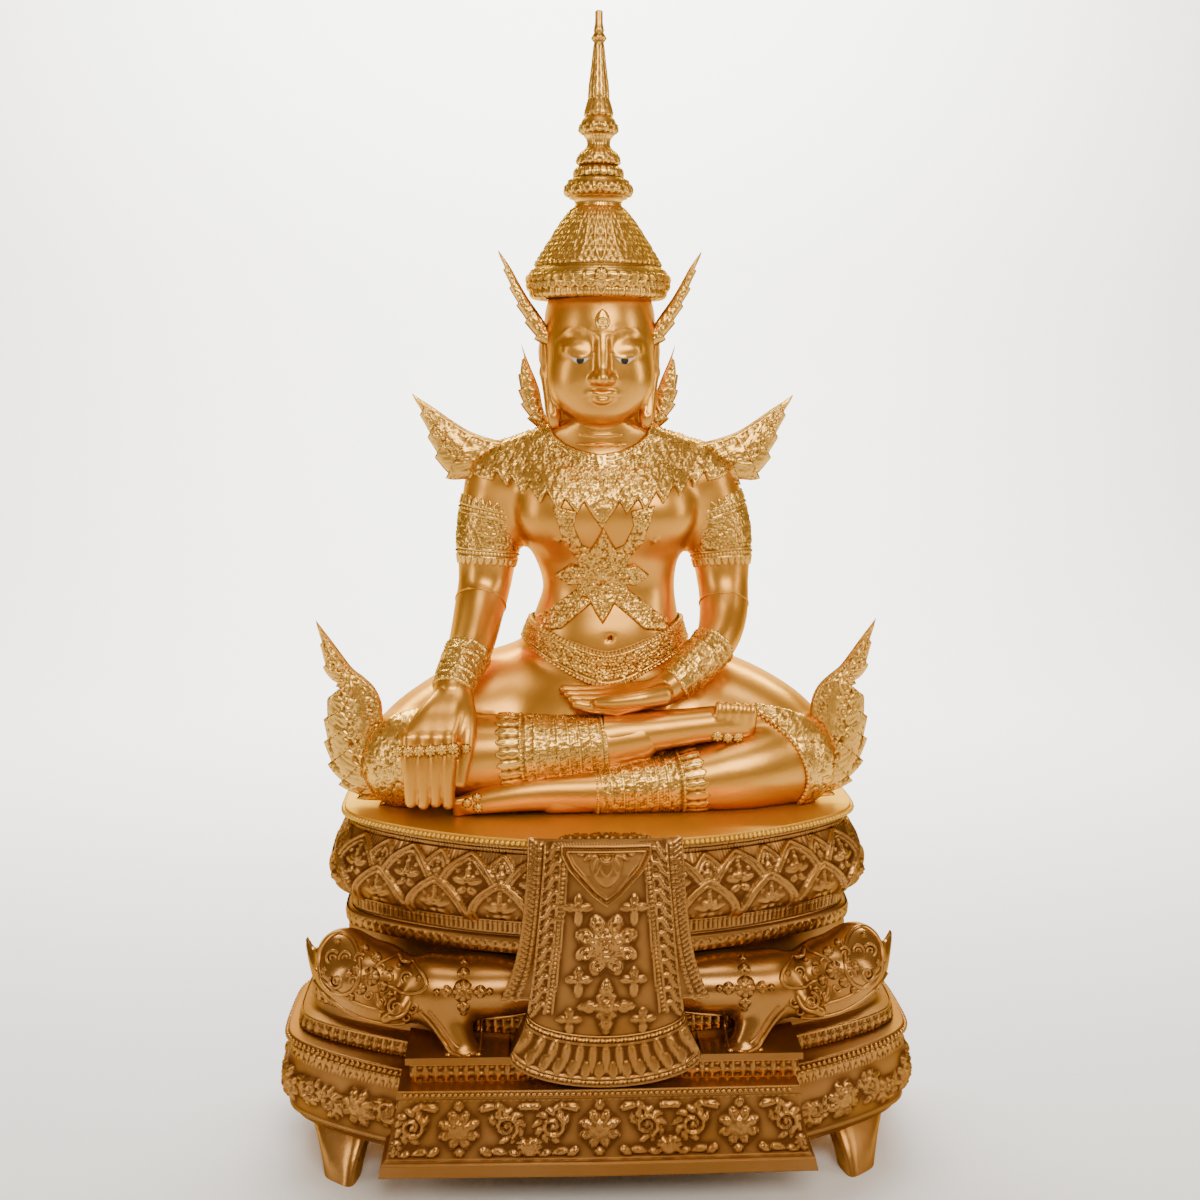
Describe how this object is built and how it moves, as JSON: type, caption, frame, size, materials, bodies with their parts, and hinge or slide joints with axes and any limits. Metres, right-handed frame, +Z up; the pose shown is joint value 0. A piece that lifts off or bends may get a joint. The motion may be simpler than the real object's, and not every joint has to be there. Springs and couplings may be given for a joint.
{
  "type": "crowned seated buddha statue",
  "caption": "Gilded statue of a crowned, jewelled figure seated cross-legged with one hand reaching down over the knee, on a tall elephant plinth with a hanging front cloth.",
  "frame": {"origin": "on the floor, under the middle of the plinth", "axes": "+Z up through the crown, -Y the way the figure faces, +X to the viewer's right"},
  "size_m": [0.6818, 0.444, 1.2],
  "materials": {
    "gilded_plinth": "hollow cast brass with gold paint, rubbed bright on the raised carving",
    "gilded_figure": "hollow cast brass with satin gold paint",
    "gilded_flame": "cast brass with satin gold paint"
  },
  "bodies": {
    "root": {"plinth": "gilded_plinth", "figure": "gilded_figure", "left_knee_flame": "gilded_flame", "right_knee_flame": "gilded_flame"}
  },
  "joints": []
}
